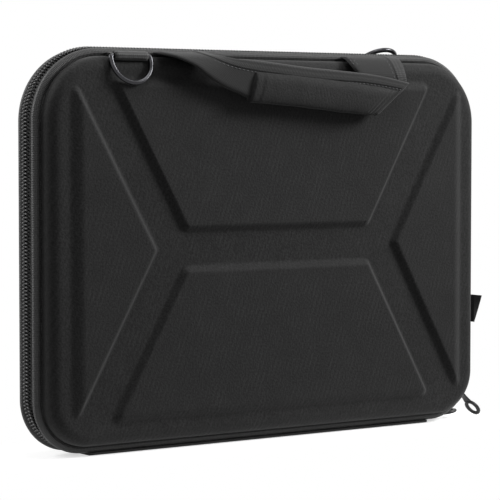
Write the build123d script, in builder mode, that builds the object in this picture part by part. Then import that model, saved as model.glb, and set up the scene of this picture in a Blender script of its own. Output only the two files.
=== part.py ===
# A zipped clamshell hard case for a laptop, standing on its fabric hinge.
# Millimetres. X is the width, +Z is up, the front half faces -Y and the zipper lies in the plane Y = 0.
# The origin is the middle of the base, on the underside of the hinge fabric.
import os
from math import asin, atan2, cos, degrees, radians, sin, tan

from build123d import *

os.makedirs("parts", exist_ok=True)

# ---------------------------------------------------------------- driving dimensions
# Rim: the outline that the zipper coil follows round the case
case_width = 360.0
case_top = 260.5              # top of the coil above the base
rim_bottom = 0.5              # where the rim outline would end, just above the base
top_corner_radius = 48.0
bottom_corner_radius = 36.0

# Zipper, in each half measured from the plane Y = 0
coil_gap = 0.8                # from the plane to the coil's inner side
coil_reach = 3.6              # from the plane to the coil's outer side
coil_thickness = 2.4
coil_bottom = 3.5             # the zipper dives a little into the rims towards its ends
zipper_end_gap = 4.0          # from the bottom corners' arcs to the zipper's ends
hinge_gap_height = 10.0       # the zipper is cut away to this height between its ends
tape_thickness = 0.8
tape_gap = 0.1                # between the coil and the tape that it is sewn to
tape_reach = 8.5
stop_length = 1.6              # beyond the coils' ends
stop_margin = 0.3             # the end stop stands this much proud of the coil all round

# Binding: the folded tape that covers each half's edge
binding_inset = 1.3           # below the coil's outline
binding_thickness = 5.0
binding_start = 5.5           # from the plane Y = 0
binding_end = 11.0
binding_round = 2.2

# Pressed shell and its lining
shell_fit = 0.1               # between the binding and the shell's wall
shell_wall = 3.0
rim_start = 5.0               # the shell's open edge, from the plane Y = 0
shell_depth = 22.5            # from the plane Y = 0 to the flat of the face
shell_edge_radius = 8.0
glue_gap = 0.1
lining_thickness = 0.8

# Four raised panels on each face, measured at half height of their bevels from the face's centre
panel_relief = 3.5
panel_bevel = 7.0
panel_crest = 2.5
waist_half_length = 74.7      # inner edge of the upper and lower panels
waist_half_gap = 12.9
foot_half_length = 129.2      # their outer edge
foot_margin = 5.9             # from it to the end of the face's flat
foot_round = 6.5
apex_x = 96.7                 # inner tip of the side panels
side_margin = 6.4             # from their outer edge to the end of the face's flat
side_round = 5.0

# Hinge fabric along the bottom
hinge_end_gap = 1.0           # from the hinge fabric to the zipper's ends
hinge_round = 0.6

# Webbing loops and their D-rings, one on the front half and one on the back half
ring_x = 115.0
ring_wire = 3.2
ring_inner_width = 26.0
ring_corner = 2.0
ring_leg = 3.4
webbing_width = 25.0
webbing_ply = 1.2
webbing_slack = 0.2           # between the webbing and what it lies on or wraps
bar_angle = 43.0              # how far the loop reaches round the shell's edge
ring_play = 0.3               # between the hanging front ring and the shell's edge
rear_ring_rise = 32.0         # above the horizontal, leaning over the zipper

# Carrying handle: one strap, folded at its right end, with a padded sleeve round its middle
strap_thickness = 2.2
strap_lift = 0.5              # between the strap's root and its sewn tail
root_gap = 1.0                # between the binding and the strap's root
tail_thickness = 1.1
arch_bulge = 1.4              # how far the arches' bends stand out past the band
arch_drop = 1.5               # and how far below the strap's root they lie
left_end_x = -73.5
left_end_width = 37.0
right_end_x = 82.0
right_end_width = 46.0
band_height = 23.0
band_left_x = -46.0           # where the hanging band begins
band_left_drop = 14.6         # from the shell's top down to its middle there
band_fold_x = 87.2            # middle of the diagonal fold at its right end
band_fold_drop = 25.1
fold_lean = 28.8              # how much further the fold's upper corner reaches than its lower one
return_width = 28.0           # the part of the strap that comes back up behind the fold
return_drop = 22.1            # from the shell's top
return_sink = 0.2             # how deep it presses into the band
sleeve_left_x = -25.0
sleeve_right_x = 78.0
sleeve_gap = 2.1              # between the raised panels and the sleeve
sleeve_height = 18.5
sleeve_thickness = 13.0
sleeve_drop = 3.6             # the sleeve's middle below the band's
sleeve_lean = 12.0            # how much further left its lower edge lies than its upper one
sleeve_cover = 1.2
sleeve_round = 5.0
pad_gap = 0.1

# Woven side label, folded double in the seam
label_bottom_z = 70.0
label_height = 19.6
label_reach = 18.0
label_droop = 2.0             # how far its outer edge hangs below its root
label_lean = 5.0              # its lower corner curls in by this much
label_thickness = 0.9

# Inside: elastic straps across the back half's corners, and a mesh pocket in the front half
elastic_width = 20.0
elastic_thickness = 1.2
elastic_leg = 72.0            # from the wall's corner to the strap's far edge
inner_start = 5.2             # from the plane Y = 0 to the straps and the pocket
pocket_top = 150.0
mesh_thickness = 0.8
hem_height = 14.0
hem_thickness = 1.6

# Zipper sliders and their pulls, both on the bottom right corner
slider_length = 12.4
slider_width = 10.4
slider_corner = 2.6
slider_plate = 1.0
slider_play = 0.15            # over the coil
under_plate = 0.8
under_plate_play = 0.75       # under the tape
lip_width = 0.9
lip_play = 0.2                # over the tape
wedge_width = 1.2
wedge_length = 4.0
bridge_length = 7.2
bridge_width = 2.2
bridge_wall = 0.6
pull_thickness = 1.2
pull_play = 0.15
pull_eye_length = 4.4
pull_eye_width = 3.0
pull_head_length = 5.8
pull_head_width = 5.8
pull_neck_width = 4.4
pull_neck_end = 13.5
pull_ring_length = 14.0
pull_ring_width = 8.8
pull_ring_wall = 1.6
lower_slider_angle = -85.0    # on the bottom right corner, from the +X direction
upper_slider_angle = -30.0
lower_pull_angle = 8.0        # directions in which the pulls lie, from the +X direction
upper_pull_angle = -46.0

# ---------------------------------------------------------------- worked out from them
half_width = case_width / 2
zipper_end_x = half_width - bottom_corner_radius - zipper_end_gap
hinge_half_length = zipper_end_x - hinge_end_gap
face_centre_z = (case_top + rim_bottom) / 2
wall_inset = binding_inset + binding_thickness + shell_fit
lining_inset = wall_inset + shell_wall + glue_gap
tape_inset = coil_thickness + tape_gap
hinge_thickness = rim_bottom + binding_inset
wire_radius = ring_wire / 2
edge_centre = (shell_depth - shell_edge_radius, case_top - wall_inset - shell_edge_radius)
bar_reach = shell_edge_radius + 2 * webbing_slack + webbing_ply + wire_radius
bar_y = edge_centre[0] + bar_reach * sin(radians(bar_angle))
bar_z = edge_centre[1] + bar_reach * cos(radians(bar_angle))
front_ring_lean = degrees(asin((shell_edge_radius + wire_radius + ring_play) / bar_reach)) - bar_angle
corner_centre = (half_width - bottom_corner_radius, coil_bottom + bottom_corner_radius)
plate_radius = bottom_corner_radius + slider_play
plate_top = plate_radius + slider_plate
pivot_radius = plate_top + pull_play + pull_thickness / 2


def half_plane(side, distance=0.0):
    """Plane facing out of one half: local x runs across, local y runs up."""
    if side == "front":
        return Plane.XZ.offset(distance)
    return Plane(origin=(0, 0, 0), x_dir=(-1, 0, 0), z_dir=(0, 1, 0)).offset(distance)


def section_plane(side, distance=0.0):
    """Plane across one half: local x runs out of the face, local y runs up."""
    if side == "front":
        return Plane(origin=(0, 0, 0), x_dir=(0, -1, 0), z_dir=(-1, 0, 0)).offset(distance)
    return Plane(origin=(0, 0, 0), x_dir=(0, 1, 0), z_dir=(1, 0, 0)).offset(distance)


def outline(inset, bottom=rim_bottom):
    """The rim's rounded outline, drawn in by inset, in the sketch that is open."""
    height = case_top - bottom
    with BuildSketch(Plane.XY) as sk:
        with Locations((0, bottom + height / 2)):
            Rectangle(2 * (half_width - inset), height - 2 * inset)
        fillet(sk.vertices().group_by(Axis.Y)[-1], top_corner_radius - inset)
        fillet(sk.vertices().group_by(Axis.Y)[0], bottom_corner_radius - inset)
    return sk.sketch


def ring_sector(centre, inner, outer, start, sweep):
    """Part of a flat ring between two radii, as a sketch."""
    with BuildSketch(Plane.XY) as sk:
        with BuildLine():
            outer_arc = CenterArc(centre, outer, start, sweep)
            inner_arc = CenterArc(centre, inner, start, sweep)
            Line(outer_arc @ 0, inner_arc @ 0)
            Line(outer_arc @ 1, inner_arc @ 1)
        make_face()
    return sk.sketch


def panel_corners():
    """Sharp corners of the four raised panels about the face's centre, each with its rounding."""
    foot_height = edge_centre[1] - face_centre_z - foot_margin
    side_x = half_width - wall_inset - shell_edge_radius - side_margin
    slope = (foot_height - waist_half_gap) / (foot_half_length - waist_half_length)
    side_height = slope * (side_x - apex_x)
    panels = []
    for sign in (1, -1):
        foot = [
            (-waist_half_length, sign * waist_half_gap),
            (waist_half_length, sign * waist_half_gap),
            (foot_half_length, sign * foot_height),
            (-foot_half_length, sign * foot_height),
        ]
        side = [
            (sign * apex_x, 0),
            (sign * side_x, side_height),
            (sign * side_x, -side_height),
        ]
        panels += [(foot, foot_round), (side, side_round)]
    return panels


def panel_outline(corners, rounding, growth):
    """One panel's rounded outline, grown or shrunk from the middle of its bevel."""
    with BuildSketch(Plane.XY) as sk:
        with Locations((0, face_centre_z)):
            Polygon(*corners, align=None)
        offset(amount=growth, kind=Kind.INTERSECTION)
        fillet(sk.vertices(), rounding + growth)
    return sk.sketch


def outer_face(part):
    """The flat face that lies furthest from the zipper's plane."""
    return part.faces().filter_by(Axis.Y).sort_by(lambda face: abs(face.center().Y))[-1]


def raised_panel(side, depth, sheet, corners, rounding):
    """One raised panel that stands on the face at depth, sheet millimetres inside the outer skin."""
    draw_in = sheet * tan(atan2(panel_relief, panel_bevel) / 2)
    with BuildPart() as panel:
        with BuildSketch(half_plane(side, depth)):
            add(panel_outline(corners, rounding, panel_bevel / 2 - draw_in))
        with BuildSketch(half_plane(side, depth + panel_relief)):
            add(panel_outline(corners, rounding, -panel_bevel / 2 - draw_in))
        loft()
        if sheet < panel_crest:
            fillet(outer_face(panel).edges(), panel_crest - sheet)
    return panel.part


def pressed_form(side, inset, depth, sheet):
    """Solid form of a half: its bowl and its raised panels, sheet millimetres inside the outer skin."""
    panels = [raised_panel(side, depth, sheet, *panel) for panel in panel_corners()]
    with BuildPart() as form:
        with BuildSketch(half_plane(side, rim_start)):
            add(outline(inset))
        extrude(amount=depth - rim_start)
        fillet(outer_face(form).edges(), shell_edge_radius - sheet)
        add(panels)
    return form.part


def finish(part, name):
    """Label a piece and write it as its own file."""
    part.label = name
    export_step(part, f"parts/{name}.step")
    print(f"{name}: {part.volume:.0f} mm3")


# ---------------------------------------------------------------- the two halves
for side in ("front", "back"):
    # Four forms nest in one another: the shell's two skins and then the lining's.
    depths = (0, shell_wall, shell_wall + glue_gap, shell_wall + glue_gap + lining_thickness)
    forms = [pressed_form(side, wall_inset + depth, shell_depth - depth, depth) for depth in depths]
    with BuildPart() as shell:
        add(forms[0])
        add(forms[1], mode=Mode.SUBTRACT)
    finish(shell.part, f"{side}_shell")

    with BuildPart() as lining:
        add(forms[2])
        add(forms[3], mode=Mode.SUBTRACT)
    finish(lining.part, f"{side}_lining")

    # The zipper's tape and coil run round the sides and the top, and stop at the hinge fabric.
    with BuildPart() as tape:
        with BuildSketch(half_plane(side, coil_gap)):
            add(outline(tape_inset, coil_bottom))
            add(outline(tape_inset + tape_thickness, coil_bottom), mode=Mode.SUBTRACT)
        extrude(amount=tape_reach - coil_gap)
        with BuildSketch(half_plane(side)):
            with Locations((0, coil_bottom)):
                Rectangle(2 * zipper_end_x, hinge_gap_height)
        extrude(amount=tape_reach, mode=Mode.SUBTRACT)
    finish(tape.part, f"{side}_zipper_tape")

    with BuildPart() as coil:
        with BuildSketch(half_plane(side, coil_gap)):
            add(outline(0, coil_bottom))
            add(outline(coil_thickness, coil_bottom), mode=Mode.SUBTRACT)
        extrude(amount=coil_reach - coil_gap)
        with BuildSketch(half_plane(side)):
            with Locations((0, coil_bottom)):
                Rectangle(2 * zipper_end_x, hinge_gap_height)
        extrude(amount=coil_reach, mode=Mode.SUBTRACT)
    finish(coil.part, f"{side}_zipper_coil")

    with BuildPart() as binding:
        with BuildSketch(half_plane(side, binding_start)):
            add(outline(binding_inset))
            add(outline(binding_inset + binding_thickness), mode=Mode.SUBTRACT)
        extrude(amount=binding_end - binding_start)
        rims = [face.outer_wire().edges() for face in binding.faces().filter_by(Axis.Y)]
        fillet([edge for rim in rims for edge in rim], binding_round)
        add(tape.part, mode=Mode.SUBTRACT)
    finish(binding.part, f"{side}_binding")

    # Webbing loop: two plies over the shell's edge, wrapped round the ring's bar.
    with BuildPart() as loop:
        with BuildSketch(section_plane(side, ring_x)):
            inner = shell_edge_radius + webbing_slack
            outer = inner + 2 * webbing_ply
            seam_length = edge_centre[0] - binding_end
            with Locations((binding_end + seam_length / 2, edge_centre[1] + (inner + outer) / 2)):
                Rectangle(seam_length, 2 * webbing_ply)
            add(ring_sector(edge_centre, inner, outer, 90 - bar_angle, bar_angle))
            with Locations((bar_y, bar_z)):
                Circle(wire_radius + webbing_slack + webbing_ply)
                Circle(wire_radius + webbing_slack, mode=Mode.SUBTRACT)
        extrude(amount=webbing_width / 2, both=True)
    finish(loop.part, f"{side}_ring_loop")

# Fabric hinge that joins the two bindings along the bottom; the case stands on it.
with BuildPart() as spine:
    with BuildSketch(Plane.YZ):
        with Locations((0, hinge_thickness / 2)):
            Rectangle(2 * binding_end, hinge_thickness)
    extrude(amount=hinge_half_length, both=True)
    fillet(spine.edges().filter_by(Axis.X).group_by(Axis.Z)[0], hinge_round)
finish(spine.part, "spine_fabric")

# A moulded stop closes the zipper at both ends and ties its two coils together.
with BuildPart() as stops:
    for sign in (-1, 1):
        with BuildSketch(Plane.YZ.offset(sign * (zipper_end_x - stop_length / 2))):
            with Locations((0, coil_bottom + coil_thickness / 2)):
                RectangleRounded(2 * (coil_reach + stop_margin), coil_thickness + 2 * stop_margin, stop_margin)
        extrude(amount=stop_length / 2, both=True)
finish(stops.part, "zipper_stops")

# ---------------------------------------------------------------- D-rings
for side, direction in (("front", front_ring_lean - 90), ("rear", 180 - rear_ring_rise)):
    ring_half = (ring_inner_width + ring_wire) / 2
    outward = -1 if side == "front" else 1
    reach = (0, outward * cos(radians(direction)), sin(radians(direction)))
    middle_x = -ring_x if side == "front" else ring_x
    ring_plane = Plane(origin=(middle_x, outward * bar_y, bar_z), x_dir=(1, 0, 0),
                       z_dir=Vector(1, 0, 0).cross(Vector(*reach)))
    with BuildPart() as ring:
        with BuildLine(ring_plane) as wire:
            Line((-ring_half + ring_corner, 0), (ring_half - ring_corner, 0))
            RadiusArc((ring_half - ring_corner, 0), (ring_half, ring_corner), -ring_corner)
            Line((ring_half, ring_corner), (ring_half, ring_leg))
            RadiusArc((ring_half, ring_leg), (-ring_half, ring_leg), -ring_half)
            Line((-ring_half, ring_leg), (-ring_half, ring_corner))
            RadiusArc((-ring_half, ring_corner), (-ring_half + ring_corner, 0), -ring_corner)
        with BuildSketch(Plane(origin=ring_plane.from_local_coords((0, 0, 0)), z_dir=(1, 0, 0))):
            Circle(wire_radius)
        sweep(path=wire.wire())
    finish(ring.part, f"{side}_ring")

# ---------------------------------------------------------------- carrying handle
shell_top = case_top - wall_inset
root_z = shell_top + tail_thickness + strap_lift + strap_thickness / 2
root_reach = binding_end + root_gap
band_reach = shell_depth + panel_relief + sleeve_gap + sleeve_thickness / 2
band_left = (band_left_x, shell_top - band_left_drop)
band_fold = (band_fold_x, shell_top - band_fold_drop)
band_slope = (band_fold[1] - band_left[1]) / (band_fold[0] - band_left[0])
band_back = band_reach - strap_thickness / 2


def band_z(x, side=0.0):
    """Height of the hanging band at x: its middle, or an edge where side is 1 or -1."""
    return band_left[1] + band_slope * (x - band_left[0]) + side * band_height / 2


def arch_section(start_x, end, share, start_width, end_width, turn):
    """Section of the strap part of the way along an arch, which turns it late from lying flat."""
    first = Vector(start_x, -root_reach, root_z)
    bend = Vector(start_x, -band_reach - arch_bulge, root_z - arch_drop)
    last = Vector(*end)
    centre = first * (1 - share) ** 2 + bend * 2 * share * (1 - share) + last * share ** 2
    along = (bend - first) * (1 - share) + (last - bend) * share
    turned = radians(turn * share ** 2)
    across = (cos(turned), 0, sin(turned))
    with BuildSketch(Plane(origin=centre, x_dir=across, z_dir=along)) as sk:
        Rectangle(start_width + (end_width - start_width) * share, strap_thickness)
    return sk.sketch


shares = (0, 1 / 3, 2 / 3, 1)
with BuildPart() as strap:
    # The band hangs in front of the face, and its right end is a diagonal fold.
    with BuildSketch(Plane.XZ.offset(band_back)):
        upper_x = band_fold[0] + fold_lean / 2
        lower_x = band_fold[0] - fold_lean / 2
        Polygon(
            (band_left[0], band_z(band_left[0], 1)),
            (band_left[0], band_z(band_left[0], -1)),
            (lower_x, band_z(lower_x, -1)),
            (upper_x, band_z(upper_x, 1)),
            align=None,
        )
    extrude(amount=strap_thickness)
    # Left arch: it leaves the seam flat over the shell and turns a quarter as it comes down.
    left_end = (band_left[0], -band_reach, band_left[1])
    for share in shares:
        add(arch_section(left_end_x, left_end, share, left_end_width, band_height, 90))
    loft()
    # Right arch: it comes down behind the fold without turning.
    right_end = (band_fold[0], -(band_back - strap_thickness / 2 + return_sink), shell_top - return_drop)
    for share in shares:
        add(arch_section(right_end_x, right_end, share, right_end_width, return_width, 0))
    loft()
finish(strap.part, "handle_strap")

for end, middle_x, width in (("left", left_end_x, left_end_width), ("right", right_end_x, right_end_width)):
    with BuildPart() as tail:
        with BuildSketch(Plane.XY.offset(shell_top)):
            with Locations((middle_x, -(binding_end + edge_centre[0]) / 2)):
                Rectangle(width, edge_centre[0] - binding_end)
        extrude(amount=tail_thickness)
    finish(tail.part, f"handle_end_{end}")


def sleeve_form(shrink, stretch):
    """The sleeve's rounded bar, drawn in all round by shrink and lengthened by stretch at both ends."""
    left = sleeve_left_x - stretch
    right = sleeve_right_x + stretch
    half = sleeve_height / 2 - shrink
    lean = sleeve_lean / 2 * half / (sleeve_height / 2)
    with BuildPart() as form:
        with BuildSketch(Plane.XZ.offset(band_reach)):
            Polygon(
                (left + lean, band_z(left) - sleeve_drop + half),
                (left - lean, band_z(left) - sleeve_drop - half),
                (right - lean, band_z(right) - sleeve_drop - half),
                (right + lean, band_z(right) - sleeve_drop + half),
                align=None,
            )
        extrude(amount=sleeve_thickness / 2 - shrink, both=True)
        fillet(form.edges().sort_by(Edge.length)[-4:], sleeve_round - shrink)
    return form.part


sleeve_skin = sleeve_form(0, 0)
sleeve_bore = sleeve_form(sleeve_cover, strap_thickness)
with BuildPart() as sleeve:
    add(sleeve_skin)
    add(sleeve_bore, mode=Mode.SUBTRACT)
    add(strap.part, mode=Mode.SUBTRACT)
finish(sleeve.part, "handle_sleeve")

# Two foam pads inside the sleeve, one on each side of the strap.
pad_form = sleeve_form(sleeve_cover + pad_gap, -pad_gap)
with BuildPart() as pad:
    add(pad_form)
    with BuildSketch(Plane.XZ.offset(band_reach)):
        with Locations(((sleeve_left_x + sleeve_right_x) / 2, band_left[1])):
            Rectangle(2 * sleeve_right_x, 4 * sleeve_height)
    extrude(amount=strap_thickness / 2 + pad_gap, both=True, mode=Mode.SUBTRACT)
    add(strap.part, mode=Mode.SUBTRACT)
finish(pad.part, "handle_pad")

# ---------------------------------------------------------------- trim and inside
with BuildPart() as label:
    with BuildSketch(Plane.XZ.offset(binding_end)):
        root_x = half_width - wall_inset
        Polygon(
            (root_x, label_bottom_z),
            (root_x + label_reach - label_lean, label_bottom_z - label_droop),
            (root_x + label_reach, label_bottom_z + label_height - label_droop),
            (root_x, label_bottom_z + label_height),
            align=None,
        )
    extrude(amount=label_thickness)
finish(label.part, "side_tag")

inner_half_width = half_width - lining_inset - lining_thickness
inner_top = case_top - lining_inset - lining_thickness
inner_bottom = rim_bottom + lining_inset + lining_thickness
near_leg = elastic_leg - elastic_width * 2 ** 0.5

with BuildPart() as elastics:
    with BuildSketch(half_plane("back", inner_start)):
        for sign in (-1, 1):
            for wall_z, inwards in ((inner_top, -1), (inner_bottom, 1)):
                Polygon(
                    (sign * (inner_half_width - elastic_leg), wall_z),
                    (sign * (inner_half_width - near_leg), wall_z),
                    (sign * inner_half_width, wall_z + inwards * near_leg),
                    (sign * inner_half_width, wall_z + inwards * elastic_leg),
                    align=None,
                )
    extrude(amount=elastic_thickness)
finish(elastics.part, "corner_elastics")

with BuildPart() as pocket:
    with BuildSketch(half_plane("front", inner_start)):
        add(outline(lining_inset + lining_thickness))
        with Locations((0, pocket_top + case_top / 2)):
            Rectangle(case_width, case_top, mode=Mode.SUBTRACT)
    extrude(amount=mesh_thickness)
finish(pocket.part, "mesh_pocket")

with BuildPart() as hem:
    with BuildSketch(half_plane("front", inner_start)):
        with Locations((0, pocket_top + hem_height / 2)):
            Rectangle(2 * inner_half_width, hem_height)
    extrude(amount=hem_thickness)
finish(hem.part, "pocket_hem")

# ---------------------------------------------------------------- zipper sliders
tape_outer = bottom_corner_radius - tape_inset
under_outer = tape_outer - tape_thickness - under_plate_play
under_inner = under_outer - under_plate
arch_inner = pivot_radius + pull_thickness / 2 + pull_play


def corner_sector(inner, outer, angle, length):
    """Sector about the bottom right corner's centre, length long at the slider's face."""
    sweep_angle = degrees(length / plate_top)
    return ring_sector(corner_centre, inner, outer, angle - sweep_angle / 2, sweep_angle)


def corner_point(radius, angle):
    """Point at an angle and a radius from the bottom right corner's centre, in the zipper's plane."""
    return (corner_centre[0] + radius * cos(radians(angle)), 0,
            corner_centre[1] + radius * sin(radians(angle)))


for name, angle, nose, pull_angle in (
    ("a", lower_slider_angle, 1, lower_pull_angle),
    ("b", upper_slider_angle, -1, upper_pull_angle),
):
    nose_angle = angle + nose * degrees((slider_length - wedge_length) / 2 / plate_top)
    with BuildPart() as slider:
        with BuildSketch(Plane.XZ):
            add(corner_sector(plate_radius, plate_top, angle, slider_length))
        extrude(amount=slider_width / 2, both=True)
        with BuildSketch(Plane.XZ):
            add(corner_sector(under_inner, under_outer, angle, slider_length))
        extrude(amount=slider_width / 2 - lip_width, both=True)
        with BuildSketch(Plane.XZ.offset(slider_width / 2 - lip_width)):
            add(corner_sector(tape_outer + lip_play, plate_radius, angle, slider_length))
        extrude(amount=lip_width)
        mirror(about=Plane.XZ)
        with BuildSketch(Plane.XZ):
            add(corner_sector(under_outer, plate_radius, nose_angle, wedge_length))
        extrude(amount=wedge_width / 2, both=True)
        plan = Plane(origin=corner_point(plate_top, angle), x_dir=(0, 1, 0),
                     z_dir=Vector(*corner_point(1, angle)) - Vector(*corner_point(0, angle)))
        with BuildSketch(plan):
            RectangleRounded(slider_width, slider_length, slider_corner)
        extrude(amount=bottom_corner_radius / 2, both=True, mode=Mode.INTERSECT)
    finish(slider.part, f"slider_{name}_body")

    with BuildPart() as bridge:
        with BuildSketch(Plane.XZ):
            add(corner_sector(plate_top, arch_inner + bridge_wall, angle, bridge_length))
            add(corner_sector(plate_top, arch_inner, angle, bridge_length - 2 * bridge_wall),
                mode=Mode.SUBTRACT)
        extrude(amount=bridge_width / 2, both=True)
    finish(bridge.part, f"slider_{name}_bridge")

    # The pull turns on a round bar, which lies under the bridge and is one end of the pull's eye.
    pivot = corner_point(pivot_radius, angle)
    pull_reach = (cos(radians(pull_angle)), 0, sin(radians(pull_angle)))
    ring_middle = pull_neck_end + pull_ring_length / 2
    with BuildPart() as pull:
        with BuildSketch(Plane(origin=pivot, x_dir=pull_reach, z_dir=Vector(*pull_reach).cross(Vector(0, 1, 0)))):
            with Locations((pull_head_length / 2, 0)):
                Rectangle(pull_head_length, pull_head_width)
            with Locations(((pull_neck_end + pull_ring_wall) / 2 + pull_eye_length / 2, 0)):
                Rectangle(pull_neck_end + pull_ring_wall - pull_eye_length, pull_neck_width)
            with Locations((ring_middle, 0)):
                Ellipse(pull_ring_length / 2, pull_ring_width / 2)
                Ellipse(pull_ring_length / 2 - pull_ring_wall, pull_ring_width / 2 - pull_ring_wall,
                        mode=Mode.SUBTRACT)
            with Locations((pull_eye_length / 2, 0)):
                Rectangle(pull_eye_length, pull_eye_width, mode=Mode.SUBTRACT)
        extrude(amount=pull_thickness / 2, both=True)
        with BuildSketch(Plane.XZ):
            with Locations((pivot[0], pivot[2])):
                Circle(pull_thickness / 2)
        extrude(amount=pull_head_width / 2, both=True)
    finish(pull.part, f"pull_{name}")
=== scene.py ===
import math
import bmesh
import bpy
import numpy as np
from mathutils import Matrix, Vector


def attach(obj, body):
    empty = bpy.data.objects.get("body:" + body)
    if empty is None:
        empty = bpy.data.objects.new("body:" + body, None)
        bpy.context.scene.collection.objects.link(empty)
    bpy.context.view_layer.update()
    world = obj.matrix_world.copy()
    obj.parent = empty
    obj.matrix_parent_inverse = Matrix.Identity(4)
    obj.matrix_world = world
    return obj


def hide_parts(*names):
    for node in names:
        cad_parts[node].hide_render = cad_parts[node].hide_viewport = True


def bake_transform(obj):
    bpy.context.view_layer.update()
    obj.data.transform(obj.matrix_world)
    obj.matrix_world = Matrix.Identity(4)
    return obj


# The looks of a zipped laptop hard case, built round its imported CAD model.
# Shapes are worked out in millimetres, in the model's own frame: X across, Z up, the front half facing -Y.
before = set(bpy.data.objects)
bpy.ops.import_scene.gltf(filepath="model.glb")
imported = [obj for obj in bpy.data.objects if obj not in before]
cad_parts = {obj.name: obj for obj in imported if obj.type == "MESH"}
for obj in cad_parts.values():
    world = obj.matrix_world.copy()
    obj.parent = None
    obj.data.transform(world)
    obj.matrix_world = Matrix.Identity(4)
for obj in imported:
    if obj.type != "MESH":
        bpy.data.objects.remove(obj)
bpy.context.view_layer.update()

# Sizes that the pieces share, as in the CAD model
halfWidth = 180.0
caseTop = 260.5
rimBottom = 0.5
topRadius = 48.0
bottomRadius = 36.0
coilBottom = 3.5
zipperEnd = 140.0
wallInset = 6.4
rimStart = 5.0
shellDepth = 22.5
edgeRadius = 8.0
faceCentre = 130.5
panelRelief = 3.5
shellTop = caseTop - wallInset
bindingEnd = 11.0
halves = {"front": -1, "back": 1}


def smooth(low, high, value):
    share = np.clip((value - low) / (high - low), 0, 1)
    return share * share * (3 - 2 * share)


def unit(vectors):
    vectors = np.asarray(vectors, float)
    return vectors / np.linalg.norm(vectors, axis=-1, keepdims=True)


def travelled(path):
    return np.concatenate([[0], np.cumsum(np.linalg.norm(np.diff(path, axis=0), axis=1))])


def valueAt(place, places, values):
    # A row of values at the place, between the rows that belong to the places.
    return np.stack([np.interp(place, places, column) for column in values.T], -1)


def hexColour(code):
    channels = [int(code[i:i + 2], 16) / 255 for i in (0, 2, 4)]
    return tuple(c / 12.92 if c <= 0.04045 else ((c + 0.055) / 1.055) ** 2.4 for c in channels) + (1,)


def addNode(tree, kind, inputs=None, output=0, **settings):
    # It gives back one of the node's outputs, ready to link.
    node = tree.nodes.new("ShaderNode" + kind)
    for key, value in settings.items():
        setattr(node, key, value)
    for key, value in (inputs or {}).items():
        if isinstance(value, bpy.types.NodeSocket):
            tree.links.new(value, node.inputs[key])
        else:
            node.inputs[key].default_value = value
    return node.outputs[output] if node.outputs else None


def newMaterial(name):
    material = bpy.data.materials.new(name)
    material.use_nodes = True
    material.node_tree.nodes.clear()
    return material, material.node_tree


def seenShare(tree):
    # One for what the camera sees, also in a mirror or through glass, and zero for rays that light other things.
    camera, glossy, through = (addNode(tree, "LightPath", output=f"Is {kind} Ray")
                               for kind in ("Camera", "Glossy", "Transmission"))
    mirrored = addNode(tree, "Math", {0: glossy, 1: through}, operation="MAXIMUM")
    return addNode(tree, "Math", {0: camera, 1: mirrored}, operation="MAXIMUM")


bandScale = 0.314159  # Blender's wave bands repeat every 0.314 / scale metres


def twillMaterial(name, cloth):
    # Polyester twill laminated to pressed board: dull, with diagonal ribs that catch the light along their crests,
    # broken by the fuzz of the yarn. The real ribs of about 1 mm are drawn in bundles, so that they show.
    material, tree = newMaterial(name)
    place = addNode(tree, "TexCoord", output="Object")
    turned = addNode(tree, "Mapping", {"Vector": place, "Rotation": (0, math.radians(cloth["lean"]), 0)})
    ribs = addNode(tree, "TexWave", {"Vector": turned, "Scale": bandScale / cloth["ribs"], "Distortion": 1.6,
                                     "Detail Scale": 1.3}, "Fac", bands_direction="X")
    slubs = addNode(tree, "TexNoise", {"Vector": place, "Scale": 1 / cloth["slubs"], "Detail": 3.0})
    patches = addNode(tree, "MapRange", {"Value": slubs, "From Min": 0.38, "From Max": 0.68})
    fuzz = addNode(tree, "TexNoise", {"Vector": place, "Scale": 1 / cloth["fuzz"], "Detail": 2.0})
    specks = addNode(tree, "MapRange", {"Value": fuzz, "From Min": 0.3, "From Max": 0.7})
    soft = addNode(tree, "TexNoise", {"Vector": place, "Scale": 1 / cloth["clouds"], "Detail": 2.0})
    raised = addNode(tree, "Math", {0: ribs, 1: patches}, operation="MULTIPLY")
    height = addNode(tree, "Math", {0: raised, 1: cloth["ribHeight"], 2: specks}, operation="MULTIPLY_ADD")
    bumps = addNode(tree, "Bump", {"Height": height, "Strength": 0.35, "Distance": 0.0003})
    # The colour is lighter on the raised rib crests, a painted highlight along them, over the random tone of the fuzz
    # and the cloud noise.
    tint = addNode(tree, "Math", {0: raised, 1: 0.4, 2: specks}, operation="MULTIPLY_ADD")
    tint = addNode(tree, "Math", {0: soft, 1: 0.5, 2: tint}, operation="MULTIPLY_ADD")
    shade = addNode(tree, "MapRange", {"Value": tint, "From Min": 0.25, "From Max": 1.55})
    colour = addNode(tree, "Mix", {0: shade, 6: hexColour(cloth["dark"]), 7: hexColour(cloth["light"])}, 2,
                     data_type="RGBA")
    shader = addNode(tree, "BsdfPrincipled", {"Base Color": colour, "Roughness": 0.75, "Sheen Weight": 0.1,
                                              "Sheen Roughness": 0.5, "Specular IOR Level": 0.12,
                                              "Normal": bumps})
    addNode(tree, "OutputMaterial", {"Surface": shader})
    return material


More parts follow.
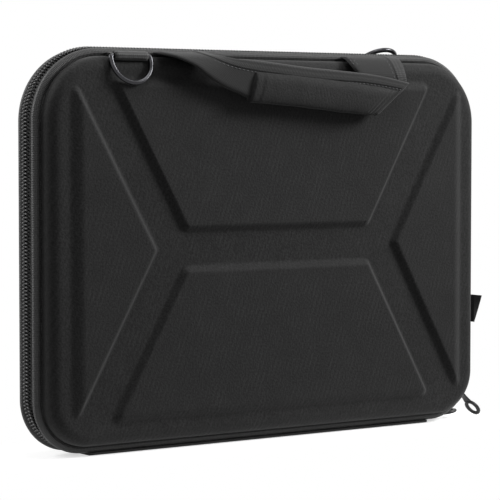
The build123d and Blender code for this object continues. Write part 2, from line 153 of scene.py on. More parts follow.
def wovenMaterial(name, dark, light, pick, end, roughness=0.6, depth=0.0003, sheen=0.0, specular=0.5):
    # Narrow woven tape: picks across it and warp ends along it leave a fine basket of raised yarns.
    material, tree = newMaterial(name)
    cloth = addNode(tree, "Attribute", output="Vector", attribute_name="weave")
    picks = addNode(tree, "TexWave", {"Vector": cloth, "Scale": bandScale / pick, "Distortion": 0.6,
                                      "Detail Scale": 3.0}, "Fac", bands_direction="X")
    ends = addNode(tree, "TexWave", {"Vector": cloth, "Scale": bandScale / end, "Distortion": 0.6,
                                     "Detail Scale": 3.0}, "Fac", bands_direction="Y")
    fuzz = addNode(tree, "TexNoise", {"Vector": cloth, "Scale": 0.7 / pick, "Detail": 2.0})
    basket = addNode(tree, "Math", {0: picks, 1: ends}, operation="MULTIPLY")
    raised = addNode(tree, "Math", {0: picks, 1: 0.4, 2: basket}, operation="MULTIPLY_ADD")
    height = addNode(tree, "Math", {0: fuzz, 1: 0.9, 2: raised}, operation="MULTIPLY_ADD")
    bumps = addNode(tree, "Bump", {"Height": height, "Strength": 0.6, "Distance": depth})
    # The colour follows the yarn height: lighter on the raised picks and ends, a painted highlight, and darker
    # between them, painted shade, with random tone from the fuzz.
    shade = addNode(tree, "MapRange", {"Value": height, "From Min": 0.3, "From Max": 1.7})
    colour = addNode(tree, "Mix", {0: shade, 6: hexColour(dark), 7: hexColour(light)}, 2, data_type="RGBA")
    shader = addNode(tree, "BsdfPrincipled", {"Base Color": colour, "Roughness": roughness,
                                              "Sheen Weight": sheen, "Specular IOR Level": specular,
                                              "Normal": bumps})
    addNode(tree, "OutputMaterial", {"Surface": shader})
    return material


def platedMaterial(name, dark, roughness, grain):
    # Drawn steel wire under a black nickel plating: a dark mirror, faintly uneven where it was tumbled.
    material, tree = newMaterial(name)
    place = addNode(tree, "TexCoord", output="Object")
    wear = addNode(tree, "TexNoise", {"Vector": place, "Scale": 1 / grain, "Detail": 4.0})
    rough = addNode(tree, "MapRange", {"Value": wear, "To Min": roughness - 0.07, "To Max": roughness + 0.1})
    bumps = addNode(tree, "Bump", {"Height": wear, "Strength": 0.15, "Distance": 0.0001})
    shader = addNode(tree, "BsdfPrincipled", {"Base Color": hexColour(dark), "Metallic": 1.0, "Roughness": rough,
                                              "Normal": bumps})
    addNode(tree, "OutputMaterial", {"Surface": shader})
    return material


def brushedLining(name, dark, light):
    # Brushed knit lining: short raised fibres, so it is dull and slightly mottled with a soft sheen.
    material, tree = newMaterial(name)
    place = addNode(tree, "TexCoord", output="Object")
    fibres = addNode(tree, "TexNoise", {"Vector": place, "Scale": 1 / 0.0008, "Detail": 4.0})
    clouds = addNode(tree, "TexNoise", {"Vector": place, "Scale": 1 / 0.02, "Detail": 2.0})
    bumps = addNode(tree, "Bump", {"Height": fibres, "Strength": 0.5, "Distance": 0.0004})
    tint = addNode(tree, "Math", {0: fibres, 1: 1.5, 2: clouds}, operation="MULTIPLY_ADD")
    shade = addNode(tree, "MapRange", {"Value": tint, "From Min": 0.8, "From Max": 1.7})
    colour = addNode(tree, "Mix", {0: shade, 6: hexColour(dark), 7: hexColour(light)}, 2, data_type="RGBA")
    shader = addNode(tree, "BsdfPrincipled", {"Base Color": colour, "Roughness": 0.9, "Sheen Weight": 0.4,
                                              "Sheen Roughness": 0.5, "Specular IOR Level": 0.2,
                                              "Normal": bumps})
    addNode(tree, "OutputMaterial", {"Surface": shader})
    return material


def netMaterial(name, dark, pitch):
    # Warp-knit mesh: round holes between dull yarns, drawn at twice the real 1.5 mm pitch.
    material, tree = newMaterial(name)
    cloth = addNode(tree, "Attribute", output="Vector", attribute_name="weave")
    turned = addNode(tree, "Mapping", {"Vector": cloth, "Rotation": (0, 0, math.radians(45))})
    rows = addNode(tree, "TexWave", {"Vector": turned, "Scale": bandScale / pitch}, "Fac", bands_direction="X")
    columns = addNode(tree, "TexWave", {"Vector": turned, "Scale": bandScale / pitch}, "Fac",
                      bands_direction="Y")
    holes = addNode(tree, "Math", {0: rows, 1: columns}, operation="MULTIPLY")
    share = addNode(tree, "Math", {0: holes, 1: 0.42}, operation="GREATER_THAN")
    bumps = addNode(tree, "Bump", {"Height": holes, "Strength": 0.5, "Distance": 0.0004})
    yarn = addNode(tree, "BsdfPrincipled", {"Base Color": hexColour(dark), "Roughness": 0.7, "Sheen Weight": 0.2,
                                            "Normal": bumps})
    clear = addNode(tree, "BsdfTransparent")
    mixed = addNode(tree, "MixShader", {0: share, 1: yarn, 2: clear})
    addNode(tree, "OutputMaterial", {"Surface": mixed})
    return material


def mouldedMaterial(name, dark, roughness, grain, specular=0.5):
    # Nylon, extruded or moulded, or a sprayed lacquer: an even semi-gloss with a very fine grain.
    material, tree = newMaterial(name)
    place = addNode(tree, "TexCoord", output="Object")
    skin = addNode(tree, "TexNoise", {"Vector": place, "Scale": 1 / grain, "Detail": 3.0})
    rough = addNode(tree, "MapRange", {"Value": skin, "To Min": roughness - 0.05, "To Max": roughness + 0.08})
    bumps = addNode(tree, "Bump", {"Height": skin, "Strength": 0.2, "Distance": 0.0001})
    shader = addNode(tree, "BsdfPrincipled", {"Base Color": hexColour(dark), "Roughness": rough,
                                              "Specular IOR Level": specular, "Normal": bumps})
    addNode(tree, "OutputMaterial", {"Surface": shader})
    return material


caseCloth = {"dark": "0f0f0f", "light": "272727", "lean": -20, "ribs": 0.0034, "ribHeight": 0.8, "slubs": 0.012,
             "fuzz": 0.0013, "clouds": 0.03}
twill = twillMaterial("polyester twill", caseCloth)
bindingCloth = wovenMaterial("polypropylene binding tape", "161616", "343434", pick=0.0011, end=0.0012,
                             roughness=0.55, depth=0.00025, sheen=0.1, specular=0.3)
tapeCloth = wovenMaterial("polyester zipper tape", "0f0f0f", "282828", pick=0.0009, end=0.0009, roughness=0.75)
strapCloth = wovenMaterial("nylon webbing", "0f0f0f", "242424", pick=0.0009, end=0.0007, roughness=0.72,
                           depth=0.00008, sheen=0.08, specular=0.15)
loopCloth = wovenMaterial("coarse nylon webbing", "161616", "414141", pick=0.0017, end=0.0014, sheen=0.1,
                          specular=0.3)
hemCloth = wovenMaterial("grosgrain edge tape", "161616", "303030", pick=0.0012, end=0.003, roughness=0.7,
                         depth=0.0002, sheen=0.1, specular=0.2)
labelCloth = wovenMaterial("satin label cloth", "020202", "0a0a0a", pick=0.0006, end=0.0006, depth=0.0001,
                           specular=0.03)
elasticCloth = wovenMaterial("knitted elastic", "141414", "303031", pick=0.0014, end=0.0018, roughness=0.7)
liningCloth = brushedLining("brushed polyester lining", "1b1b1c", "363638")
netCloth = netMaterial("warp-knit nylon mesh", "17171a", 0.0032)
coilNylon = mouldedMaterial("nylon zipper coil", "070707", 0.42, grain=0.0008, specular=0.35)
stopNylon = mouldedMaterial("moulded nylon stop", "101012", 0.45, grain=0.001)
threadNylon = mouldedMaterial("bonded nylon thread", "2c2c2e", 0.5, grain=0.0004)
lacquer = mouldedMaterial("black lacquered zinc", "09090a", 0.4, grain=0.0015, specular=0.3)
blackNickel = platedMaterial("black-nickel-plated steel wire", "38383a", 0.22, grain=0.004)
print("materials made")


# Mesh helpers
def meshPiece(name, points, faces, material, weave=None):
    mesh = bpy.data.meshes.new(name)
    mesh.from_pydata((np.asarray(points, float).reshape(-1, 3) / 1000).tolist(), [], faces)
    mesh.polygons.foreach_set("use_smooth", [True] * len(mesh.polygons))
    if weave is not None:
        attribute = mesh.attributes.new("weave", "FLOAT_VECTOR", "POINT")
        attribute.data.foreach_set("vector", np.asarray(weave, float).reshape(-1) / 1000)
    form = bmesh.new()
    form.from_mesh(mesh)
    bmesh.ops.recalc_face_normals(form, faces=form.faces)  # every face looks outwards
    form.to_mesh(mesh)
    form.free()
    piece = bpy.data.objects.new(name, mesh)
    bpy.context.scene.collection.objects.link(piece)
    mesh.materials.append(material)
    return piece


def gridFaces(rows, columns, closedRows=False, closedColumns=False, flipped=False):
    faces = []
    for i in range(rows if closedRows else rows - 1):
        low, high = i * columns, (i + 1) % rows * columns
        for j in range(columns if closedColumns else columns - 1):
            k = (j + 1) % columns
            face = (low + j, low + k, high + k, high + j)
            faces.append(face[::-1] if flipped else face)
    return faces


def tubeFaces(stations, sides):
    # Closed all round, with a cap on each end.
    last = stations * sides - 1
    return gridFaces(stations, sides, closedColumns=True) + [tuple(range(sides)),
                                                             tuple(range(last, last - sides, -1))]


def weaveOf(grid):
    # Distances along the columns and the rows, so that woven patterns keep their scale on bent pieces.
    along = np.broadcast_to(travelled(grid[grid.shape[0] // 2]), grid.shape[:2])
    across = np.broadcast_to(travelled(grid[:, grid.shape[1] // 2])[:, None], grid.shape[:2])
    return np.stack([along, across, np.zeros_like(along)], -1)


def gridPiece(name, grid, material, closedRows=False, closedColumns=False, flipped=False, capped=False):
    rows, columns = grid.shape[:2]
    faces = gridFaces(rows, columns, closedRows, closedColumns, flipped)
    if capped:
        faces += [tuple(i * columns for i in range(rows)), tuple((i + 1) * columns - 1 for i in range(rows))]
    return meshPiece(name, grid, faces, material, weaveOf(grid))


def joined(name, parts, material):
    # Several small closed forms with the same faces become one mesh.
    points, faces, start = [], [], 0
    for partPoints, partFaces in parts:
        points.append(partPoints)
        faces += [tuple(start + v for v in face) for face in partFaces]
        start += len(partPoints)
    return meshPiece(name, np.concatenate(points), faces, material)


# The rim's outline
def ringPath(inset, spacing, bottom=rimBottom):
    # It starts in the middle of the base and runs round by the right, with as many points at every inset.
    corners = ((halfWidth - bottomRadius, bottom + bottomRadius, bottomRadius, -90),
               (halfWidth - topRadius, caseTop - topRadius, topRadius, 0),
               (topRadius - halfWidth, caseTop - topRadius, topRadius, 90),
               (bottomRadius - halfWidth, bottom + bottomRadius, bottomRadius, 180))
    points, outward = [], []
    start = np.array([0.0, bottom + inset])
    direction = np.array([0.0, -1.0])
    lengths = (halfWidth - bottomRadius, caseTop - bottom - topRadius - bottomRadius,
               2 * (halfWidth - topRadius), caseTop - bottom - topRadius - bottomRadius)
    for (x, z, radius, first), length in zip(corners, lengths):
        steps = round(length / spacing)
        angle = math.radians(first)
        direction = np.array([math.cos(angle), math.sin(angle)])
        arcStart = np.array([x, z]) + direction * (radius - inset)
        for i in range(steps):
            points.append(start + (arcStart - start) * i / steps)
            outward.append(direction)
        arcSteps = round(radius * math.pi / 2 / spacing)
        for i in range(arcSteps):
            turned = angle + math.pi / 2 * i / arcSteps
            direction = np.array([math.cos(turned), math.sin(turned)])
            points.append(np.array([x, z]) + direction * (radius - inset))
            outward.append(direction)
        direction = np.array([math.cos(angle + math.pi / 2), math.sin(angle + math.pi / 2)])
        start = np.array([x, z]) + direction * (radius - inset)
    steps = round((halfWidth - bottomRadius) / spacing)
    for i in range(steps):
        points.append(start + (np.array([0.0, bottom + inset]) - start) * i / steps)
        outward.append(np.array([0.0, -1.0]))
    return np.array(points), np.array(outward)


def rimRow(side, inset, depth, spacing=1.6):
    path = ringPath(inset, spacing)[0]
    return np.stack([path[:, 0], np.full(len(path), side * depth), path[:, 1]], -1)


def zipperPath(inset, count):
    # From one end stop round the case to the other, at even distances.
    path, outward = ringPath(inset, 0.8, coilBottom)
    sewn = (np.abs(path[:, 0]) >= zipperEnd) | (path[:, 1] > bottomRadius)
    path, outward = path[sewn], outward[sewn]
    places = travelled(path)
    wanted = np.linspace(0, places[-1], count)
    return valueAt(wanted, places, path), unit(valueAt(wanted, places, outward)), places[-1]


# Pressed shells and linings: sheet is how far a skin lies inside the outer one
cover = {"sheet": 0, "rows": 108, "spacing": 1.2, "lip": 3.0, "lipDepth": 14}
liner = {"sheet": 3.9, "rows": 44, "spacing": 2.6, "lip": 3.1, "lipDepth": 12}
relief = {"bevel": 3.8, "softFoot": 0.9, "softCrest": 0.6, "footRounding": 4.0, "sideRounding": 3.0,
          "sideFade": (161.0, 150.5), "endFade": (111.5, 104.0),  # the panels' outer edges run out softly
          "waist": (74.7, 12.9), "foot": (129.2, 109.7), "side": (96.7, 159.2)}


def panelShapes():
    (waistX, waistZ), (footX, footZ) = relief["waist"], relief["foot"]
    innerX, outerX = relief["side"]
    sideZ = (footZ - waistZ) / (footX - waistX) * (outerX - innerX)
    shapes = []
    for sign in (1, -1):
        foot = [(-waistX, sign * waistZ), (waistX, sign * waistZ), (footX, sign * footZ), (-footX, sign * footZ)]
        side = [(sign * innerX, 0), (sign * outerX, sideZ), (sign * outerX, -sideZ)]
        shapes += [(foot, relief["footRounding"]), (side, relief["sideRounding"])]
    return shapes


def depthInside(points, corners, rounding):
    # Distance from a rounded convex outline: positive inside it, negative outside.
    corners = np.array(corners, float)
    following = np.roll(corners, -1, axis=0)
    if np.sum(corners[:, 0] * following[:, 1] - following[:, 0] * corners[:, 1]) < 0:
        corners = corners[::-1]
        following = np.roll(corners, -1, axis=0)
    edges = unit(following - corners)
    inward = np.stack([-edges[:, 1], edges[:, 0]], -1)
    offsets = (inward * corners).sum(1) + rounding
    core = np.array([np.linalg.solve([inward[i - 1], inward[i]], [offsets[i - 1], offsets[i]])
                     for i in range(len(corners))])
    inner = (points @ inward.T - offsets).min(axis=1)
    nearest = np.full(len(points), 1e9)
    for first, last in zip(core, np.roll(core, -1, axis=0)):
        line = last - first
        share = np.clip((points - first) @ line / (line @ line), 0, 1)
        nearest = np.minimum(nearest, np.linalg.norm(points - first - share[:, None] * line, axis=1))
    return np.where(inner < 0, -nearest, inner) + rounding


def softRamp(distance, softness):
    # Zero below zero and straight above it, with a rounded change over softness to both sides.
    near = np.clip(distance + softness, 0, 2 * softness) ** 2 / (4 * softness)
    return np.where(distance > softness, distance, near)


def bevelShare(depth):
    half = relief["bevel"] / 2
    rise = softRamp(depth + half, relief["softFoot"]) - softRamp(depth - half, relief["softCrest"])
    return rise / relief["bevel"]


def pressedSkin(side, skin):
    # One skin of a half: its lip, turned in at the rim, then the wall, the rounded edge and the face with its panels.
    sheet, spacing = skin["sheet"], skin["spacing"]
    inset = wallInset + sheet
    radius = edgeRadius - sheet
    depth = shellDepth - sheet
    grid = [rimRow(side, wallInset + skin["lip"], d, spacing) for d in (skin["lipDepth"], rimStart)]
    grid += [rimRow(side, inset, d, spacing) for d in np.linspace(rimStart, depth - radius, 7)]
    for angle in np.linspace(0, math.pi / 2, 10)[1:]:
        grid.append(rimRow(side, inset + radius * (1 - math.cos(angle)), depth - radius + radius * math.sin(angle),
                           spacing))
    edge = grid[-1]
    middle = edge.copy()
    middle[:, 0] = np.clip(edge[:, 0] * 0.3, -42, 42)
    middle[:, 2] = faceCentre
    first = len(grid)
    for share in np.linspace(0, 1, skin["rows"])[1:]:
        grid.append(edge + (middle - edge) * share)
    grid = np.array(grid)
    flat = grid[first:].reshape(-1, 3)
    across = np.stack([flat[:, 0], flat[:, 2] - faceCentre], -1)
    raised = np.zeros(len(flat))
    for corners, rounding in panelShapes():
        raised = np.maximum(raised, bevelShare(depthInside(across, corners, rounding) + sheet * 0.24))
    raised *= smooth(*relief["sideFade"], np.abs(across[:, 0])) * smooth(*relief["endFade"], np.abs(across[:, 1]))
    flat[:, 1] += side * raised * panelRelief
    grid[first:] = flat.reshape(grid[first:].shape)
    return grid


for half, side in halves.items():
    shell = gridPiece(f"{half}_shell_cover", pressedSkin(side, cover), twill, closedColumns=True,
                      flipped=side < 0)
    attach(shell, f"{half}_half")
    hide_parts(f"{half}_shell")
    lining = gridPiece(f"{half}_lining_cloth", pressedSkin(side, liner), liningCloth, closedColumns=True,
                       flipped=side > 0)
    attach(lining, f"{half}_half")
    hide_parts(f"{half}_lining")
print("shells and linings made")


# Binding, zipper tape and coil
def sweptRim(name, side, section, material):
    grid = np.array([rimRow(side, inset, depth) for inset, depth in section])
    return gridPiece(name, grid, material, closedRows=True, closedColumns=True, flipped=side < 0)


binding = {"inset": 1.3, "base": 6.3, "start": 5.5, "end": 11.0, "round": 2.6}
tape = {"inset": 2.5, "thickness": 0.7, "start": 0.06, "end": 7.0}
tooth = {"pitch": 2.3, "length": 1.45, "height": 2.4, "start": 0.3, "end": 3.5, "lean": 0.3}


def bindingSection():
    centre = (binding["start"] + binding["end"]) / 2
    halfHeight = (binding["end"] - binding["start"]) / 2
    section = [(binding["base"], binding["end"])]
    for angle in np.linspace(math.pi / 2, -math.pi / 2, 13):
        section.append((binding["inset"] + binding["round"] * (1 - math.cos(angle)),
                        centre + halfHeight * math.sin(angle)))
    return section + [(binding["base"], binding["start"])]


def coilTeeth(side):
    length = zipperPath(tooth["height"] / 2, 4)[2]
    count = round(length / tooth["pitch"])
    path, outward = zipperPath(tooth["height"] / 2, 2 * count)[:2]
    first = 0 if side < 0 else 1  # every second place belongs to the other half
    path, outward = path[first::2], outward[first::2]
    forward = np.stack([-outward[:, 1], outward[:, 0]], -1)
    stations = ((0, 0.35), (0.08, 0.75), (0.25, 1), (0.75, 1), (0.93, 0.8), (1, 0.35))
    around = np.linspace(0, 2 * math.pi, 8, endpoint=False)
    shape = []
    for share, size in stations:
        depth = tooth["start"] + (tooth["end"] - tooth["start"]) * share
        for angle in around:
            shape.append((math.cos(angle) * size * tooth["length"] / 2 + tooth["lean"] * (share - 0.5),
                          depth, math.sin(angle) * size * tooth["height"] / 2))
    shape = np.array(shape)
    faces = tubeFaces(len(stations), len(around))
    parts = []
    for point, out, ahead in zip(path, outward, forward):
        flat = point + shape[:, :1] * ahead + shape[:, 2:] * out
        parts.append((np.stack([flat[:, 0], side * shape[:, 1], flat[:, 1]], -1), faces))
    return parts


def tapeStrip(side):
    rows = []
    for inset, depth in ((tape["inset"], tape["start"]), (tape["inset"], tape["end"]),
                         (tape["inset"] + tape["thickness"], tape["end"]),
                         (tape["inset"] + tape["thickness"], tape["start"])):
        path = zipperPath(inset, 700)[0]
        rows.append(np.stack([path[:, 0], np.full(len(path), side * depth), path[:, 1]], -1))
    return np.array(rows)


for half, side in halves.items():
    piece = sweptRim(f"{half}_binding_tape", side, bindingSection(), bindingCloth)
    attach(piece, f"{half}_half")
    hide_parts(f"{half}_binding")
    piece = gridPiece(f"{half}_zipper_cloth", tapeStrip(side), tapeCloth, closedRows=True, capped=True)
    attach(piece, f"{half}_half")
    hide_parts(f"{half}_zipper_tape")
    piece = joined(f"{half}_coil_turns", coilTeeth(side), coilNylon)
    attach(piece, f"{half}_half")
    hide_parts(f"{half}_zipper_coil")
print("bindings and zipper made")


# Hinge fabric: a flat strip with rounded edges between the two halves
hinge = {"half": 139.0, "reach": 10.9, "thickness": 1.8, "round": 0.8}
section = []
for y in np.linspace(-hinge["reach"], hinge["reach"], 33):
    lift = hinge["round"] * (1 - math.sqrt(max(0, 1 - max(0, abs(y) - hinge["reach"] + 1) ** 2)))
    section.append((y, lift))
for y in np.linspace(hinge["reach"], -hinge["reach"], 33):
    section.append((y, hinge["thickness"]))
spread = np.linspace(-hinge["half"], hinge["half"], 60)
grid = np.array([[(x, y, z) for x in spread] for y, z in section])
spine = gridPiece("spine_cloth", grid, tapeCloth, closedRows=True, capped=True)
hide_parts("spine_fabric")
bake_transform(spine)


# Flat webbing along a path
def ribbonGrid(centres, across, widths, thickness, columns):
    # A flat band with rounded edges; across points from its first edge to its second.
    centres, across = np.asarray(centres, float), unit(across)
    widths = np.broadcast_to(np.asarray(widths, float), (len(centres),))
    thickness = np.broadcast_to(np.asarray(thickness, float), (len(centres),))
    tangent = unit(np.gradient(centres, axis=0))
    normal = unit(np.cross(tangent, across))
    outline = []
    for share in np.linspace(-1, 1, columns):
        outline.append((share, math.sqrt(max(0.0, 1 - max(0.0, (abs(share) - 0.94) / 0.06) ** 2))))
    rows = []
    for share, high in outline + [(s, -h) for s, h in outline[::-1][1:-1]]:
        rows.append(centres + across * (share * widths / 2)[:, None] + normal * (high * thickness / 2)[:, None])
    return np.array(rows)


def ribbon(name, centres, across, widths, thickness, material, columns=14):
    grid = ribbonGrid(centres, across, widths, thickness, columns)
    piece = gridPiece(name, grid, material, closedRows=True, capped=True)
    weave = weaveOf(grid)
    widthNow = np.broadcast_to(np.asarray(widths, float), (grid.shape[1],))
    shares = np.concatenate([np.linspace(-1, 1, columns), np.linspace(1, -1, columns)[1:-1]])
    weave[:, :, 1] = shares[:, None] * widthNow[None] / 2 + 50  # a fixed distance keeps it above zero
    piece.data.attributes["weave"].data.foreach_set("vector", weave.reshape(-1) / 1000)
    return piece


thread = {"pitch": 3.2, "length": 2.3, "radius": 0.32, "sunk": 0.1}


def stitches(name, path, facing, pitch=thread["pitch"], length=thread["length"]):
    # Lockstitch seen from one side: short threads that dip into the cloth between the needle holes.
    path, facing = np.asarray(path, float), unit(facing)
    places = travelled(path)
    count = max(2, int(places[-1] / pitch))
    parts = []
    around = np.linspace(0, 2 * math.pi, 6, endpoint=False)
    stations = ((-0.5, 0.3, -0.8), (-0.35, 0.9, -0.1), (0, 1, 0.35), (0.35, 0.9, -0.1), (0.5, 0.3, -0.8))
    faces = tubeFaces(len(stations), len(around))
    for i in range(count):
        here = (i + 0.5) * places[-1] / count
        point = valueAt(here, places, path)
        ahead = unit(valueAt(here + 0.3, places, path) - valueAt(here - 0.3, places, path))
        out = unit(valueAt(here, places, facing))
        aside = np.cross(out, ahead)
        points = []
        for share, size, lift in stations:
            centre = point + ahead * share * length + out * (lift * thread["radius"] - thread["sunk"])
            points += [centre + thread["radius"] * size * (math.cos(a) * aside + math.sin(a) * out) for a in around]
        parts.append((np.array(points), faces))
    return joined(name, parts, threadNylon)


# Carrying handle
def smoothLine(points, count):
    # Catmull-Rom curve through the points, with as many stations for each span.
    points = np.asarray(points, float)
    before, after = 2 * points[0] - points[1], 2 * points[-1] - points[-2]
    knots = np.concatenate([[before], points, [after]])
    line = []
    for here in np.linspace(0, len(points) - 1, count):
        k = min(int(here), len(points) - 2)
        t = here - k
        a, b, c, d = knots[k:k + 4]
        line.append(0.5 * (2 * b + (c - a) * t + (2 * a - 5 * b + 4 * c - d) * t ** 2
                           + (3 * b - a - 3 * c + d) * t ** 3))
    return np.array(line)


# The band's two edges run from its left root to the diagonal fold, and the return ply's from the right root.
# Each seam of the return ply is given by its share of the width and its last station. The strap's bend is given by
# two points, in metres.
handle = {
    "thickness": 2.0, "hem": 7.4, "returnTape": (0.76, 1.01), "returnSeams": ((0.73, 44), (0.05, 26), (0.12, 26)),
    "bend": ((0, -0.0125, 0.2568), (0, -0.026, 0.252)),
    "lower": [(-92, -12, 256.9), (-93.5, -20, 256.6), (-92.5, -28, 255.4), (-89, -34, 253.6), (-82.6, -37, 250.9),
              (-75.7, -37.4, 247.8), (-69.6, -37.2, 243.8), (-62, -36.6, 239.2), (-52, -36, 234.6),
              (-42, -35.5, 231.2), (-30, -34.8, 227.2), (-15, -34.6, 225.6), (6, -34.6, 224.2),
              (28, -34.7, 222.3), (48, -34.8, 220.4), (62, -34.7, 218.9), (73, -34.6, 217.4)],
    "upper": [(-55, -12, 256.9), (-55.6, -16.5, 256.9), (-56, -21, 256.1), (-55.8, -25.5, 255.2),
              (-54, -29, 254.4), (-51, -31.2, 253.9), (-47, -33, 253.5), (-42, -34.2, 253.2), (-36, -34.6, 253),
              (-29, -34.6, 252.5), (-20, -34.6, 251.8), (-5, -34.6, 250.4), (14, -34.6, 248.6),
              (40, -34.7, 246.9), (67, -34.8, 244.9), (86, -34.7, 242.4), (101.2, -34.6, 239.6)],
    "returnLeft": [(59, -12, 256.9), (57.5, -17, 256.6), (56.5, -23, 254.6), (56.2, -29, 250.4),
                   (58, -31.8, 245.6), (62, -32.5, 238), (67, -32.6, 228), (73, -32.6, 217.6)],
    "returnRight": [(105, -12, 256.9), (104.8, -17, 256.6), (103.5, -23, 254.4), (101.9, -28.4, 250),
                    (101.2, -31.2, 246), (101.1, -32.3, 243.4), (101.1, -32.6, 241.4), (101.2, -32.6, 239.8)],
}


def between(first, second, count, start=0.0, end=1.0):
    # Centres, directions and widths of the part of a strap that lies between two shares of its width.
    first, second = smoothLine(first, count), smoothLine(second, count)
    low = first + (second - first) * np.reshape(start, (-1, 1))
    high = first + (second - first) * np.reshape(end, (-1, 1))
    return (low + high) / 2, unit(high - low), np.linalg.norm(high - low, axis=1)


def blended(piece, slotName, *replaced):
    if replaced:
        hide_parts(*replaced)
    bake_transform(piece)


blended(ribbon("handle_webbing", *between(handle["lower"], handle["upper"], 120), handle["thickness"], strapCloth),
        "webbing", "handle_strap")
blended(ribbon("handle_return", *between(handle["returnLeft"], handle["returnRight"], 60), handle["thickness"],
               strapCloth), "webbing")

# Folded edge tapes along the band's upper edge and down the return ply's right edge.
fullWidth = between(handle["lower"], handle["upper"], 120)[2]
centres, across, widths = between(handle["lower"], handle["upper"], 120, 1 - handle["hem"] / fullWidth,
                                  1 + 0.5 / fullWidth)
blended(ribbon("handle_edge_tape", centres, across, widths, handle["thickness"] + 1.2, hemCloth, 10),
        "binding_tape")
blended(ribbon("handle_return_tape", *between(handle["returnLeft"], handle["returnRight"], 60,
                                              *handle["returnTape"]),
               handle["thickness"] + 0.8, hemCloth, 10), "binding_tape")
seam = (centres - across * (widths / 2 + 0.5)[:, None] - np.array((0, handle["thickness"] / 2 + 0.15, 0)))[34:]
blended(stitches("handle_edge_stitches", seam, np.tile((0.0, -1, 0), (len(seam), 1))), "webbing")
for k, (share, last) in enumerate(handle["returnSeams"]):
    seam, across, widths = between(handle["returnLeft"], handle["returnRight"], 60, share - 0.01, share + 0.01)
    seam, across = seam[8:last], across[8:last]
    out = unit(np.cross(np.gradient(seam, axis=0), across))
    out *= np.sign(-out[:, 1:2])
    seam = seam + out * handle["thickness"] / 2
    blended(stitches(f"handle_return_stitches_{k}", seam, out), "webbing")

# The diagonal fold itself: a soft roll from its lower corner to its upper one.
low, high = np.array((72.9, -33.6, 217.4)), np.array((101.3, -33.6, 239.9))
line = unit(high - low)
aside = np.cross(line, (0, 1, 0))
rows = []
for t in np.linspace(-0.01, 1.01, 24):
    size = math.sqrt(max(0.02, 1 - abs(2 * t - 1) ** 10)) * (1 + 0.25 * float(smooth(0.6, 0.75, t)))
    rows.append([low + (high - low) * t + size * (math.cos(a) * aside * 1.3 + math.sin(a) * np.array((0, 2.05, 0)))
                 for a in np.linspace(0, 2 * math.pi, 12, endpoint=False)])
roll = gridPiece("handle_fold", np.array(rows).transpose(1, 0, 2), hemCloth, closedRows=True, capped=True)
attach(roll, "handle")
print("handle strap made")

# Sewn tails: the strap's turned-under ends beside the binding.
tails = {"left": (-73.5, 37.0), "right": (82.0, 46.0)}  # middle and width
for end, (x, width) in tails.items():
    path = [(x, y, shellTop + 0.55) for y in np.linspace(-bindingEnd - 0.05, -14.4, 5)]
    piece = ribbon(f"handle_tail_{end}", path, [(1.0, 0, 0)] * 5, width, 1.0, strapCloth)
    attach(piece, "front_half")
    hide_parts(f"handle_end_{end}")

# Padded sleeve round the lower part of the band: foam in a cover that is sewn on under the edge tape.
# It is hemmed at the left and gathered into the diagonal fold at the right.
sleeve = {"top": [(-27.3, 245.6), (14, 242.8), (60, 238.6), (91.5, 234.6)],
          "bottom": [(-32.6, 225.6), (7, 222.8), (46, 219.2), (68.5, 217.6)], "thickness": 9.4, "length": 108,
          "hem": 5, "gather": 9}
stations = np.concatenate([np.linspace(0, 0.08, 14), np.linspace(0.08, 0.85, 60)[1:], np.linspace(0.85, 1, 34)[1:]])
edges = [smoothLine([(x, handle["lower"][-1][1], z) for x, z in sleeve[edge]], 201) for edge in ("top", "bottom")]
rows = []
for t in stations:
    high, low = (valueAt(t * 200, np.arange(201), edge) for edge in edges)
    fromLeft, fromRight = sleeve["length"] * t, sleeve["length"] * (1 - t)
    swell = 1 - 0.42 * math.exp(-(fromRight / sleeve["gather"]) ** 2)
    swell += 0.02 * math.sin(t * 19) + 0.012 * math.sin(t * 41 + 1)
    swell *= 1 - 0.12 * math.exp(-((fromLeft - 5.6) / 0.9) ** 2)
    swell *= 0.9 if fromLeft < sleeve["hem"] else 1
    swell *= min(1, 0.75 + fromLeft / 3)
    ring = []
    for a in np.linspace(0, 2 * math.pi, 96, endpoint=False):
        c, s = math.cos(a), math.sin(a)
        pleat = 1 + 0.07 * math.exp(-(fromRight / 11) ** 2) * math.sin(fromLeft * 1.15 + 2.2 * s)
        rise = math.copysign(abs(s) ** 0.75, s)
        deep = math.copysign(abs(c) ** 0.6, c) * sleeve["thickness"] / 2 * swell * pleat * (1 - 0.4 * max(0, s) ** 4)
        ring.append((low + high) / 2 + (high - low) / 2 * rise * (1 + 0.01 * math.sin(t * 33)) - (0, deep, 0))
    rows.append(ring)
sleeveTwill = twillMaterial("sleeve twill", dict(caseCloth, dark="0e0e0e", light="242424", lean=14, ribs=0.0026,
                                                       ribHeight=0.45))
pad = gridPiece("handle_cover", np.array(rows).transpose(1, 0, 2), sleeveTwill, closedRows=True, capped=True)
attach(pad, "handle")
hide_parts("handle_sleeve", "handle_pad")
print("handle sleeve made")

